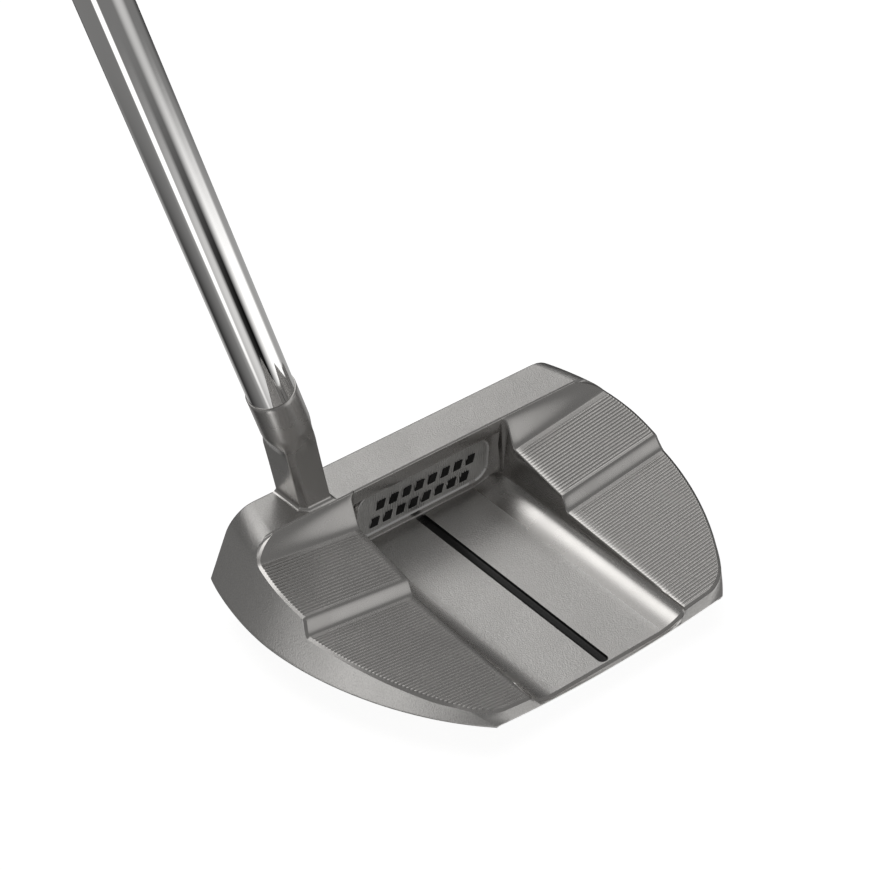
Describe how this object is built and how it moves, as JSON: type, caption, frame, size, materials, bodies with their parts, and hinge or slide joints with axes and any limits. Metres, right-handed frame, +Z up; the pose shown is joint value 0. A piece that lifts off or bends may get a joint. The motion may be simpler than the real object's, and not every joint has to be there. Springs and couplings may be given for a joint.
{
  "type": "mallet putter",
  "caption": "Right-handed mid-mallet putter with ridged terraces, a central sight channel, an over-hosel steel shaft and a pistol grip.",
  "frame": {"origin": "middle of the flat of the sole, where the head touches the ground at address", "axes": "+X from heel to toe, +Y from the back of the head through the face towards the target, +Z up"},
  "size_m": [0.3937, 0.0721, 0.8096],
  "materials": {
    "head_steel": "bead-blasted satin with fine milled ridges",
    "weight_steel": "turned satin",
    "washer_rubber": "matt",
    "badge_chrome": "finely brushed, bright bevelled edge",
    "black_paint": "semi-gloss paint infill",
    "tape_film": "adhesive tape",
    "epoxy": "cured adhesive",
    "shaft_chrome": "mirror",
    "band_vinyl": "plain vinyl",
    "grip_rubber": "textured matt",
    "cap_plastic": "matt"
  },
  "bodies": {
    "root": {"head_body": "head_steel", "sole_weights": "weight_steel", "weight_washers": "washer_rubber", "cavity_badge": "badge_chrome", "badge_marks": "black_paint", "badge_tape": "tape_film", "sight_line_fill": "black_paint", "shaft_epoxy": "epoxy", "shaft": "shaft_chrome", "shaft_band": "band_vinyl", "grip_tape": "tape_film", "grip": "grip_rubber", "grip_cap": "cap_plastic"}
  },
  "joints": []
}
